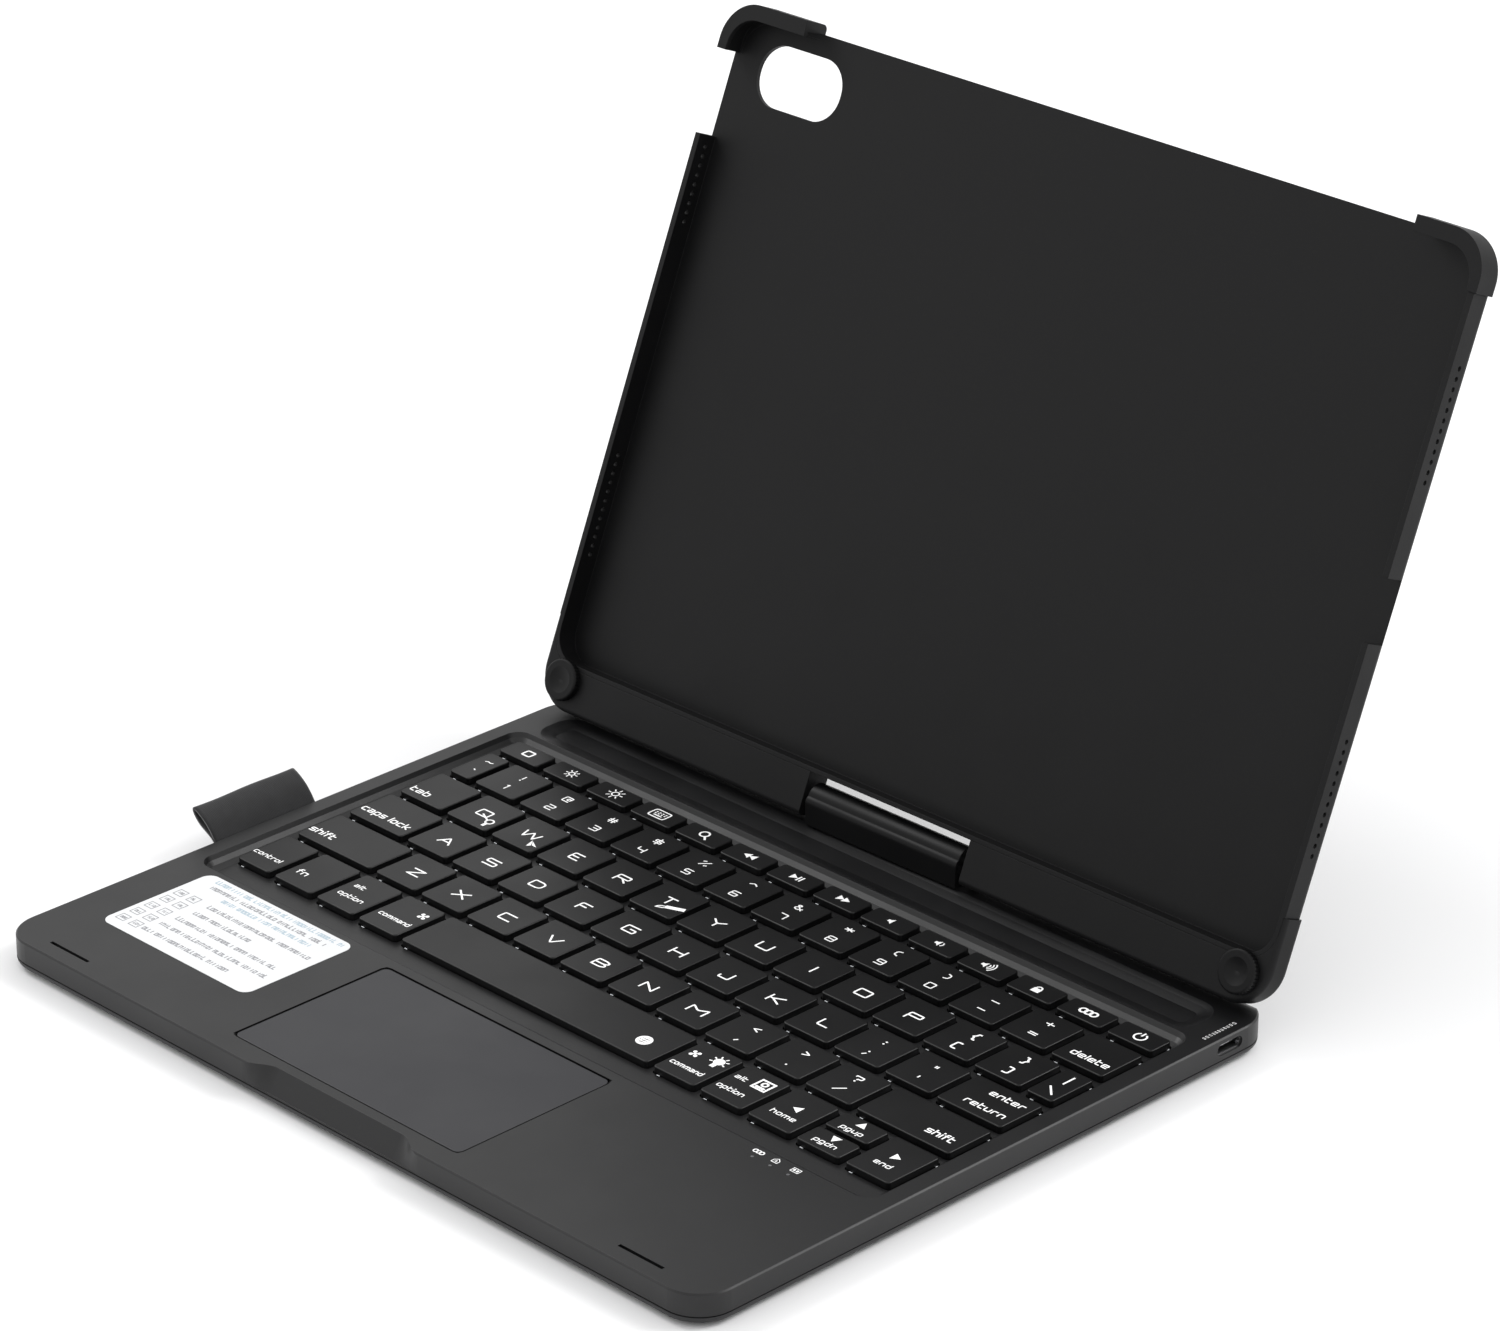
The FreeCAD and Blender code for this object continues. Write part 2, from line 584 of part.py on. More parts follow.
def make_chin():
    blank = back_fillet(slab(-126.6, 126.6, 0, 60, -TRAY_T, 0, 11.0), 2.2)
    blank = blank.makeFillet(1.4, [e for e in edges_at_z(blank, 0) if e.BoundBox.YMax < 58])
    chin = blank.common(chin_zone(-0.03))
    keep = slab(-118.05, 118.05, 1.55, 60, -TRAY_T - 3, -TRAY_T + BACK_T + 0.02, 7.0)
    chin = chin.cut(keep)
    chin = chin.cut(box(-NOTCH_HALF_W, NOTCH_HALF_W, -2, 20, -10, 3))
    for sx in (-1, 1):
        x0 = NOTCH_HALF_W + 1.5
        x1 = 110.0
        hollow = box(x0, x1, 1.4, 30, -TRAY_T + BACK_T - 0.5, -1.4)
        if sx < 0:
            hollow = box(-x1, -x0, 1.4, 30, -TRAY_T + BACK_T - 0.5, -1.4)
        chin = chin.cut(hollow)
        x = NOTCH_HALF_W - 1 if sx > 0 else -NOTCH_HALF_W - 3
        chin = chin.cut(cyl(TILT_PIN_R + 0.12, 4.0, x, AXIS_V, AXIS_W, V(1, 0, 0)))
        puck_seat = cyl(2.54, 2.0, sx * PUCK_X, PUCK_V, -1.22)
        chin = chin.cut(puck_seat)
    for solid in chin.Solids:
        side = "left" if solid.CenterOfMass.x < 0 else "right"
        save("chin_cover_" + side, upright(solid))


def make_pucks():
    pucks = []
    for sx in (-1, 1):
        x = sx * PUCK_X
        puck = cyl(PUCK_R, PUCK_H, x, PUCK_V, 0.02)
        puck = puck.makeFillet(0.7, edges_at_z(puck, PUCK_H + 0.02))
        dish = Part.makeSphere(9.0, V(x, PUCK_V, PUCK_H + 0.02 + 8.25))
        puck = puck.cut(dish)
        teeth = []
        for i in range(36):
            a = math.radians(10 * i)
            teeth.append(cyl(0.16, 3, x + PUCK_R * math.cos(a), PUCK_V + PUCK_R * math.sin(a), -0.5))
        puck = puck.cut(Part.makeCompound(teeth))
        puck = puck.fuse(cyl(2.5, 1.2, x, PUCK_V, -1.18))
        pucks.append(puck)
    save("standoff_pads", upright(Part.makeCompound(pucks)))


def make_brackets():
    screws = []
    for sx, side in ((-1, "left"), (1, "right")):
        def span(a, b):
            return (a, b) if sx > 0 else (-b, -a)

        x0, x1 = span(31.0, 66.0)
        back = -TRAY_T + BACK_T
        plate = box(x0, x1, 2.0, 11.4, back + 0.02, back + 0.9)
        x0, x1 = span(31.0, 41.0)
        knuckle = box(x0, x1, AXIS_V - 2.6, AXIS_V + 2.6, back + 0.5, -1.6)
        bracket = plate.fuse(knuckle)
        x0, x1 = span(30.0, 42.0)
        bracket = bracket.cut(cyl(TILT_PIN_R, x1 - x0, x0, AXIS_V, AXIS_W, V(1, 0, 0)))
        for x in bracket_screw_x():
            if x * sx > 0:
                bracket = bracket.cut(cyl(0.9, 8.0, x, AXIS_V + 3.6, -TRAY_T - 2))
                head = cyl(1.6, 0.6, x, AXIS_V + 3.6, back + 0.9)
                screws.append(head.fuse(cyl(0.85, 2.0, x, AXIS_V + 3.6, back - 0.9)))
        save("hinge_bracket_" + side, upright(bracket))
        x0, x1 = span(14.0, 41.0)
        pin = cyl(TILT_PIN_R, x1 - x0, x0, AXIS_V, AXIS_W, V(1, 0, 0))
        save("tilt_pin_" + side, upright(pin))
    save("bracket_screws", upright(Part.makeCompound(screws)))


def main():
    keys = key_rects()
    make_keys(keys)
    make_key_works(keys)
    make_top_deck(keys)
    make_bottom_cover()
    make_cover_hardware()
    make_base_internals()
    make_trackpad()
    make_pencil_loop()
    make_hinge()
    make_tray()
    make_corner_clips()
    make_chin()
    make_pucks()
    make_brackets()


main()
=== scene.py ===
import json
import math
import random

import bpy
from mathutils import Matrix, Vector

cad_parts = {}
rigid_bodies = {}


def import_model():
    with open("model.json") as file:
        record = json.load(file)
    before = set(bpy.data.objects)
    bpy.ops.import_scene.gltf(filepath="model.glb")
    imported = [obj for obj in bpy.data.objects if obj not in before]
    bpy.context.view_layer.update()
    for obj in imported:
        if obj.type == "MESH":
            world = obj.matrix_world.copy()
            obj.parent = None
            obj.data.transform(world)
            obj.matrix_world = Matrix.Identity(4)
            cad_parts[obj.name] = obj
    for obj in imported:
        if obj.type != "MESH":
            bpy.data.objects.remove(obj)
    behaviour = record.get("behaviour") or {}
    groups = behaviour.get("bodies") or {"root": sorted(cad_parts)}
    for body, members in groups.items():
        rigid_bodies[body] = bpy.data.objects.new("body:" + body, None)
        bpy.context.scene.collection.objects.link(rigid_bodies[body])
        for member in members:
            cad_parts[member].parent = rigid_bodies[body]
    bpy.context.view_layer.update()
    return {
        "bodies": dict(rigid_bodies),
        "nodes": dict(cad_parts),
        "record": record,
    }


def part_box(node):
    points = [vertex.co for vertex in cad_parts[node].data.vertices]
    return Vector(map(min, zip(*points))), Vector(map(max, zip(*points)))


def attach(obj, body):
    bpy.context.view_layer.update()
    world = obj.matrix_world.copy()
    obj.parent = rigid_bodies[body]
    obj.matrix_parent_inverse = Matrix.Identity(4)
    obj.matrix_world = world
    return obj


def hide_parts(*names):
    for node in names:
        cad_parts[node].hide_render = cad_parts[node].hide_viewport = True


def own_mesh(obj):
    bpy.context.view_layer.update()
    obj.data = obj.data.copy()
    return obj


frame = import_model()
NODES = frame["nodes"]
MM = 0.001
random.seed(7)

# millimetres, in the row frame; the pad and the loop are measured from the front edge
BASE_TOP = 9.0
FRONT = -97.5
KEY_TOP = 8.05
WELL_FLOOR = 6.2
PAD = (-42.8, 37.8, 7.0, 55.8)
LOOP_Y = (70.6, 103.9)
LOOP_THICKNESS = 0.8

# how far each kind of mark lies above the face that it is printed on
PRINT_LIFT = 0.015
SECOND_PRINT_LIFT = 0.03
DECK_PRINT_LIFT = 0.012
# the painted shade in the gap round the trackpad
GAP_SHADE_LIFT = 0.01
STICKER_PRINT_LIFT = 0.115


def add_object(name, data):
    obj = bpy.data.objects.new(name, data)
    bpy.context.scene.collection.objects.link(obj)
    return obj


# ------------------------------------------------------------------ materials

def shader(name):
    """A material with one Principled shader, its node tree and that shader."""
    mat = bpy.data.materials.new(name)
    mat.use_nodes = True
    tree = mat.node_tree
    tree.nodes.clear()
    out = tree.nodes.new("ShaderNodeOutputMaterial")
    bsdf = tree.nodes.new("ShaderNodeBsdfPrincipled")
    tree.links.new(bsdf.outputs["BSDF"], out.inputs["Surface"])
    return mat, tree, bsdf


def noise(tree, scale, detail, coord):
    n = tree.nodes.new("ShaderNodeTexNoise")
    n.inputs["Scale"].default_value = scale
    n.inputs["Detail"].default_value = detail
    tree.links.new(coord, n.inputs["Vector"])
    return n


def ranged(tree, value, low, high, from_low=0.3, from_high=0.7):
    """The value, stretched from its usual range to low..high."""
    m = tree.nodes.new("ShaderNodeMapRange")
    m.inputs["From Min"].default_value = from_low
    m.inputs["From Max"].default_value = from_high
    m.inputs["To Min"].default_value = low
    m.inputs["To Max"].default_value = high
    tree.links.new(value, m.inputs["Value"])
    return m.outputs["Result"]


def product(tree, a, b):
    node = tree.nodes.new("ShaderNodeMath")
    node.operation = "MULTIPLY"
    tree.links.new(a, node.inputs[0])
    tree.links.new(b, node.inputs[1])
    return node.outputs[0]


def paint(tree, bsdf, color, value):
    """The base colour is the colour made lighter or darker by the value."""
    tint = tree.nodes.new("ShaderNodeVectorMath")
    tint.operation = "SCALE"
    tint.inputs[0].default_value = color
    tree.links.new(value, tint.inputs["Scale"])
    tree.links.new(tint.outputs["Vector"], bsdf.inputs["Base Color"])


def raised(tree, bsdf, height, strength, depth):
    """Bump of that depth in millimetres. Returns the bump node."""
    bump = tree.nodes.new("ShaderNodeBump")
    bump.inputs["Strength"].default_value = strength
    bump.inputs["Distance"].default_value = depth * MM
    tree.links.new(height, bump.inputs["Height"])
    tree.links.new(bump.outputs["Normal"], bsdf.inputs["Normal"])
    return bump


def textured(name, color, rough, metallic=0.0, grain=2600.0, grain_depth=0.02, tone=0.12,
             tone_scale=45.0, speck=0.0, edge=0.0, specular=0.5, streak=None):
    """A moulded or metal surface: fine grain, slow drift of tone and roughness, optional flecks."""
    mat, tree, bsdf = shader(name)
    coord = tree.nodes.new("ShaderNodeTexCoord").outputs["Object"]
    source = coord
    if streak:
        stretch = tree.nodes.new("ShaderNodeMapping")
        stretch.inputs["Scale"].default_value = streak
        tree.links.new(coord, stretch.inputs["Vector"])
        source = stretch.outputs["Vector"]
    drift = noise(tree, tone_scale, 4.0, coord)
    fine = noise(tree, grain, 3.0, source)
    value = ranged(tree, drift.outputs["Fac"], 1.0 - tone, 1.0 + tone)
    if speck:
        flecks = noise(tree, grain * 0.55, 2.0, source)
        dots = ranged(tree, flecks.outputs["Fac"], 1.0, 1.0 + speck, 0.6, 0.72)
        value = product(tree, value, dots)
    paint(tree, bsdf, color, value)
    roughness = ranged(tree, drift.outputs["Fac"], rough - 0.05, rough + 0.05)
    tree.links.new(roughness, bsdf.inputs["Roughness"])
    bsdf.inputs["Metallic"].default_value = metallic
    bsdf.inputs["Specular IOR Level"].default_value = specular
    bump = raised(tree, bsdf, fine.outputs["Fac"], 0.6, grain_depth)
    if edge:
        bevel = tree.nodes.new("ShaderNodeBevel")
        bevel.samples = 4
        bevel.inputs["Radius"].default_value = edge * MM
        tree.links.new(bevel.outputs["Normal"], bump.inputs["Normal"])
    return mat


def printed(name, color, rough=0.5, glow=0.0):
    """Ink, or a lit legend if it glows."""
    mat, tree, bsdf = shader(name)
    coord = tree.nodes.new("ShaderNodeTexCoord").outputs["Object"]
    fine = noise(tree, 1800.0, 2.0, coord)
    paint(tree, bsdf, color, ranged(tree, fine.outputs["Fac"], 0.94, 1.0))
    bsdf.inputs["Roughness"].default_value = rough
    if glow:
        bsdf.inputs["Emission Color"].default_value = (*color, 1.0)
        bsdf.inputs["Emission Strength"].default_value = glow
    return mat


def weave(tree, coord, direction, scale, distortion):
    wave = tree.nodes.new("ShaderNodeTexWave")
    wave.wave_type = "BANDS"
    wave.bands_direction = direction
    wave.inputs["Scale"].default_value = scale
    wave.inputs["Distortion"].default_value = distortion
    tree.links.new(coord, wave.inputs["Vector"])
    return wave.outputs["Fac"]


def woven(name, color):
    """Ribbed elastic webbing."""
    mat, tree, bsdf = shader(name)
    coord = tree.nodes.new("ShaderNodeTexCoord").outputs["UV"]
    rib = weave(tree, coord, "X", 900.0, 0.6)
    yarn = weave(tree, coord, "Y", 700.0, 0.8)
    lint = noise(tree, 240.0, 5.0, coord)
    paint(tree, bsdf, color, ranged(tree, lint.outputs["Fac"], 0.8, 1.25))
    bsdf.inputs["Roughness"].default_value = 0.85
    bsdf.inputs["Sheen Weight"].default_value = 0.25
    raised(tree, bsdf, product(tree, rib, yarn), 0.7, 0.06)
    return mat


MATS = {
    "case_plastic": textured("case_black", (0.0055, 0.0055, 0.006), 0.4, grain=3000, grain_depth=0.02,
                             tone=0.08, speck=0.5, edge=0.15, specular=0.44),
    "cover_plastic": textured("cover_black", (0.011, 0.011, 0.012), 0.48, grain=1800, grain_depth=0.03,
                              tone=0.1, speck=0.4, edge=0.2, specular=0.45),
    "tray_plastic": textured("tray_black", (0.0045, 0.0045, 0.0048), 0.5, grain=2200, grain_depth=0.025,
                             tone=0.04, speck=0.3, edge=0.25, specular=0.2),
    "key_plastic": textured("key_black", (0.0035, 0.0035, 0.0038), 0.38, grain=3600, grain_depth=0.012,
                            tone=0.08, edge=0.12, specular=0.32),
    "trackpad_surface": textured("trackpad_satin", (0.009, 0.009, 0.0125), 0.38, grain=5000,
                                 grain_depth=0.005, tone=0.05, specular=0.5),
    "hinge_metal": textured("hinge_black", (0.0035, 0.0035, 0.0038), 0.4, grain=1500, grain_depth=0.02,
                            tone=0.1, edge=0.3, specular=0.16),
    "pin_steel": textured("pin_steel", (0.45, 0.45, 0.46), 0.3, metallic=1.0,
                          streak=(1.0, 30.0, 30.0)),
    "screw_steel": textured("screw_steel", (0.2, 0.2, 0.21), 0.35, metallic=1.0, edge=0.1),
    "steel_sheet": textured("steel_sheet", (0.5, 0.51, 0.52), 0.38, metallic=1.0,
                            streak=(0.05, 1.0, 1.0)),
    "socket_steel": textured("socket_steel", (0.42, 0.42, 0.43), 0.35, metallic=1.0,
                             streak=(1.0, 0.05, 1.0)),
    "battery_foil": textured("battery_foil", (0.5, 0.5, 0.52), 0.4, metallic=0.8, grain=700,
                             grain_depth=0.05),
    "circuit_board": textured("circuit_green", (0.02, 0.09, 0.045), 0.4, grain=900, tone=0.2),
    "membrane_film": textured("membrane_film", (0.05, 0.055, 0.07), 0.3, grain=500, tone=0.15),
    "light_guide": textured("light_guide", (0.75, 0.76, 0.78), 0.3, grain=900, tone=0.05),
    "dome_rubber": textured("dome_rubber", (0.6, 0.6, 0.58), 0.6, grain=900),
    "frame_plastic": textured("frame_plastic", (0.55, 0.55, 0.53), 0.5, grain=900),
    "led_lens": textured("led_lens", (0.12, 0.12, 0.125), 0.25, grain=900),
    "foot_rubber": textured("foot_rubber", (0.02, 0.02, 0.02), 0.8, grain=1200, grain_depth=0.06,
                            edge=0.2),
    "pad_rubber": textured("pad_rubber", (0.003, 0.003, 0.0033), 0.5, grain=1600, grain_depth=0.02,
                           edge=0.15, specular=0.2),
    "sticker_paper": textured("sticker_paper", (0.78, 0.79, 0.8), 0.45, grain=900, grain_depth=0.01,
                              tone=0.02),
    "bush_plastic": textured("bush_plastic", (0.012, 0.012, 0.012), 0.5, grain=900),
    "elastic_band": woven("elastic_band", (0.012, 0.012, 0.013)),
}
# near-black painted shade for the gap round the trackpad
GAP_SHADE = textured("gap_shade_black", (0.002, 0.002, 0.002), 0.8, grain=900, specular=0.1)
INK = printed("legend_white", (0.9, 0.9, 0.9), 0.5, glow=0.25)
GREY_INK = printed("sticker_grey", (0.27, 0.27, 0.29))
BLUE_INK = printed("sticker_blue", (0.4, 0.52, 0.6))
LEAK = printed("light_leak", (0.7, 0.72, 0.75), 0.4, glow=0.25)

for entry in frame["record"]["subparts"]:
    node = NODES[entry["node"]]
    node.data.materials.clear()
    node.data.materials.append(MATS[entry["material_slot"]])


# ------------------------------------------------------------------ drawing flat marks

def across(direction):
    return Vector((-direction.y, direction.x))


class Marks:
    """Flat shapes drawn in millimetres in one plane, gathered into one mesh."""

    def __init__(self, plane=None):
        self.verts = []
        self.faces = []
        self.plane = plane or Matrix.Identity(4)

    def polygon(self, points):
        base = len(self.verts)
        self.verts += [self.plane @ Vector((x, y, 0.0)) for x, y in points]
        self.faces.append(tuple(range(base, base + len(points))))

    def quad_strip(self, left, right):
        for i in range(len(left) - 1):
            self.polygon([left[i], right[i], right[i + 1], left[i + 1]])

    def line(self, points, width, closed=False):
        """A band of that width along the points, with mitred corners. A single spot gives a dot."""
        pts = [Vector(p) for p in points]
        if closed:
            pts = pts + [pts[0]]
        if len(pts) == 2 and (pts[0] - pts[1]).length < 1e-6:
            self.disc(pts[0].x, pts[0].y, width * 0.75, 10)
            return
        left = []
        right = []
        n = len(pts)
        for i, p in enumerate(pts):
            before = pts[i - 1] if i > 0 else (pts[-2] if closed else None)
            after = pts[i + 1] if i < n - 1 else (pts[1] if closed else None)
            if before is None:
                d = (after - p).normalized()
                normal = across(d)
                start = p - d * width * 0.35
                left.append(start + normal * width / 2)
                right.append(start - normal * width / 2)
            elif after is None:
                d = (p - before).normalized()
                normal = across(d)
                end = p + d * width * 0.35
                left.append(end + normal * width / 2)
                right.append(end - normal * width / 2)
            else:
                d0 = (p - before).normalized()
                d1 = (after - p).normalized()
                mitre = across(d0) + across(d1)
                if mitre.length < 0.2:
                    mitre = across(d0)
                mitre.normalize()
                reach = width / 2 / max(mitre.dot(across(d0)), 0.5)
                left.append(p + mitre * reach)
                right.append(p - mitre * reach)
        self.quad_strip([tuple(p) for p in left], [tuple(p) for p in right])

    def arc(self, cx, cy, r, start, stop, width, n=16):
        """A curved line from one angle to the other, in degrees, or a whole ring."""
        pts = []
        for i in range(n + 1):
            a = math.radians(start + (stop - start) * i / n)
            pts.append((cx + r * math.cos(a), cy + r * math.sin(a)))
        closed = abs(stop - start) >= 359.9
        self.line(pts[:-1] if closed else pts, width, closed)

    def disc(self, cx, cy, r, n=18):
        angles = [2 * math.pi * i / n for i in range(n)]
        self.polygon([(cx + r * math.cos(a), cy + r * math.sin(a)) for a in angles])

    def rect(self, x0, y0, x1, y1):
        self.polygon([(x0, y0), (x1, y0), (x1, y1), (x0, y1)])

    def text(self, words, x, y, height, width=None, weight=0.17, align=0.5, stretch=1.0):
        """Square stroke letters with eased corners: their capital height, and the line's length if given."""
        unit = height / 6.0
        runs = []
        pen = 0.0
        for ch in words:
            if ch == " ":
                pen += 3.0
                continue
            strokes = [[(int(p[0]), int(p[1])) for p in s.split()] for s in GLYPHS[ch].split("|")]
            wide = max(px for s in strokes for px, _ in s)
            for s in strokes:
                runs.append([(pen + px, py - 2.0) for px, py in s])
            pen += wide + 2.0
        total = pen - 2.0
        sx = unit * stretch if width is None else width / max(total, 1e-6)
        x0 = x - total * sx * align
        for s in runs:
            pts = [(x0 + px * sx, y + py * unit) for px, py in s]
            closed = len(pts) > 3 and pts[0] == pts[-1]
            if closed:
                pts.pop()
            self.line(eased(pts, closed, 0.16 * height), height * weight, closed)

    def build(self, name, material, body):
        """One piece of all the shapes so far, which rides on that body."""
        mesh = bpy.data.meshes.new(name)
        mesh.from_pydata([v * MM for v in self.verts], [], self.faces)
        mesh.update()
        obj = add_object(name, mesh)
        mesh.materials.append(material)
        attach(obj, body)
        return obj


def eased(points, closed, radius):
    """The same path with each sharp corner cut back by up to radius on both sides."""
    pts = [Vector(p) for p in points]
    n = len(pts)
    out = []
    for i, p in enumerate(pts):
        if not closed and i in (0, n - 1):
            out.append(p)
            continue
        back = pts[i - 1] - p
        ahead = pts[(i + 1) % n] - p
        r = min(radius, back.length * 0.4, ahead.length * 0.4)
        turn = back + ahead
        if turn.length > 1e-6:
            out += [p + back.normalized() * r, p + turn.normalized() * r * 0.35, p + ahead.normalized() * r]
        else:
            out.append(p)
    return [tuple(p) for p in out]


def corners(x, y, half_w, half_h):
    """The corners of a rectangle from its middle and half sizes."""
    x0, x1 = x - half_w, x + half_w
    y0, y1 = y - half_h, y + half_h
    return [(x0, y0), (x1, y0), (x1, y1), (x0, y1)]


# strokes on a grid: baseline at 2, small letters to 6, capitals to 8; "|" lifts the pen
GLYPHS = {
    "A": "02 28 42|14 34", "B": "02 08 38 47 46 35 05|35 44 43 32 02", "C": "48 08 02 42",
    "D": "02 08 38 47 43 32 02", "E": "48 08 02 42|05 35", "F": "48 08 02|05 35",
    "G": "48 08 02 42 45 25", "H": "02 08|42 48|05 45", "I": "02 08", "J": "48 42 02 04",
    "K": "02 08|48 15 42|05 15", "L": "08 02 42", "M": "02 08 35 68 62", "N": "02 08 42 48",
    "O": "08 48 42 02 08", "P": "02 08 48 45 05", "Q": "08 48 42 02 08|24 51", "R": "02 08 48 45 05|25 42",
    "S": "48 08 05 45 42 02", "T": "08 48|28 22", "U": "08 02 42 48", "V": "08 22 48",
    "W": "08 12 38 52 68", "X": "02 48|08 42", "Y": "08 25 48|25 22", "Z": "08 48 02 42",
    "0": "08 48 42 02 08", "1": "17 28 22", "2": "08 48 45 05 02 42", "3": "08 48 42 02|15 45",
    "4": "08 05 45|48 42", "5": "48 08 05 45 42 02", "6": "48 08 02 42 45 05", "7": "08 48 42",
    "8": "08 48 42 02 08|05 45", "9": "02 42 48 08 05 45",
    "`": "18 27", "~": "05 16 35 46", "!": "08 04|02 02", "@": "42 02 08 48 44 24 26 46",
    "#": "12 18|32 38|04 44|06 46", "$": "47 07 05 45 43 03|29 21", "%": "02 48|07 18|32 43",
    "^": "06 28 46", "&": "42 07 18 27 04 03 12 22 44",
    "*": "24 28|05 47|07 45", "(": "28 07 03 22", ")": "08 27 23 02", "-": "05 45", "_": "02 42",
    "=": "04 44|06 46", "+": "05 45|23 27", "[": "28 08 02 22", "]": "08 28 22 02",
    "{": "38 28 26 15 24 22 32", "}": "08 18 16 25 14 12 02", "\\": "08 42", "|": "09 01",
    ";": "16 16|13 01", ":": "06 06|03 03", "'": "06 04", "\"": "06 04|16 14", ",": "14 02", ".": "03 03",
    "<": "37 05 33", ">": "07 35 03", "/": "02 48", "?": "07 08 48 45 25 24|22 22",
    "a": "06 46 42 02 04 44", "b": "08 02 42 46 06", "c": "46 06 02 42", "d": "48 42 02 06 46",
    "e": "42 02 06 46 44 04", "f": "38 18 12|06 36", "g": "42 02 06 46 40 00", "h": "08 02|06 46 42",
    "i": "02 06|08 08", "k": "08 02|46 14 42|04 14", "l": "08 02", "m": "02 06 66 62|36 32",
    "n": "02 06 46 42", "o": "06 46 42 02 06", "p": "00 06 46 42 02", "r": "02 06 36",
    "s": "46 06 04 44 42 02", "t": "08 02 32|06 36", "u": "06 02 42 46", "x": "02 46|06 42",
}


def plane_at(z):
    return Matrix.Translation((0.0, 0.0, z))


def cap_rects(node):
    """Outline of every cap in a key node, left to right, in millimetres."""
    mesh = NODES[node].data
    spans = []
    for p in mesh.polygons:
        xs = [mesh.vertices[v].co.x for v in p.vertices]
        spans.append((min(xs), max(xs)))
    spans.sort()
    groups = []
    for a, b in spans:
        if groups and a <= groups[-1][1] + 1e-5:
            groups[-1][1] = max(groups[-1][1], b)
        else:
            groups.append([a, b])
    lo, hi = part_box(node)
    return [(a / MM, b / MM, lo.y / MM, hi.y / MM) for a, b in groups]


KEYS = [body for body in frame["bodies"] if body.startswith("key")]


# ------------------------------------------------------------------ key legends

def centre(rect):
    return (rect[0] + rect[1]) / 2, (rect[2] + rect[3]) / 2


def letter_row(name, node, labels):
    """Legends of one key row: one letter, or a lower and an upper sign on each cap."""
    marks = Marks(plane_at(KEY_TOP + PRINT_LIFT))
    for rect, label in zip(cap_rects(node), labels):
        cx, cy = centre(rect)
        if len(label) == 1:
            stretch = 1.6 if label in "EFJLT" else 1.75 if label in "MW" else 2.0
            marks.text(label, cx + 0.5, cy - 2.1, 3.05, weight=0.165, stretch=stretch)
        else:
            tall = 3.0 if label[0] in "[]\\" else 2.35
            marks.text(label[0], cx + 0.35, cy - 3.5 - tall / 2, tall, weight=0.17, stretch=1.5)
            marks.text(label[1], cx + 0.35, cy + 2.8 - tall / 2, tall, weight=0.17, stretch=1.5)
    marks.build(name, INK, node)


def make_letter_rows():
    number_row = ["`~", "1!", "2@", "3#", "4$", "5%", "6^", "7&", "8*", "9(", "0)", "-_", "=+"]
    letter_row("legend_number_row", "keys_number_row", number_row)
    letter_row("legend_q_row", "keys_q_row", list("QWERTYUIOP") + ["[{", "]}", "\\|"])
    letter_row("legend_a_row", "keys_a_row", list("ASDFGHJKL") + [";:", "'\""])
    letter_row("legend_z_row", "keys_z_row", list("ZXCVBNM") + [",<", ".>", "/?"])


def sun(m, x, y, r):
    m.arc(x, y, r * 0.4, 0, 360, 0.4)
    for i in range(8):
        a = math.radians(45 * i)
        m.line([(x + r * 0.65 * math.cos(a), y + r * 0.65 * math.sin(a)),
                (x + r * 0.95 * math.cos(a), y + r * 0.95 * math.sin(a))], 0.36)


def speaker(m, x, y):
    m.polygon([(x - 1.4, y - 0.5), (x - 0.7, y - 0.5), (x + 0.2, y - 1.3), (x + 0.2, y + 1.3),
               (x - 0.7, y + 0.5), (x - 1.4, y + 0.5)])


def triangle(m, x, y, s, direction):
    if direction == "left":
        m.polygon([(x - s, y), (x + s * 0.7, y - s), (x + s * 0.7, y + s)])
    elif direction == "right":
        m.polygon([(x + s, y), (x - s * 0.7, y + s), (x - s * 0.7, y - s)])
    elif direction == "up":
        m.polygon([(x, y + s), (x - s, y - s * 0.7), (x + s, y - s * 0.7)])
    else:
        m.polygon([(x, y - s), (x + s, y + s * 0.7), (x - s, y + s * 0.7)])


def loops(m, x, y, k):
    """Three linked rings."""
    for i in (-1, 0, 1):
        m.arc(x + i * 1.25 * k, y, 0.75 * k, 0, 360, 0.42 * k)


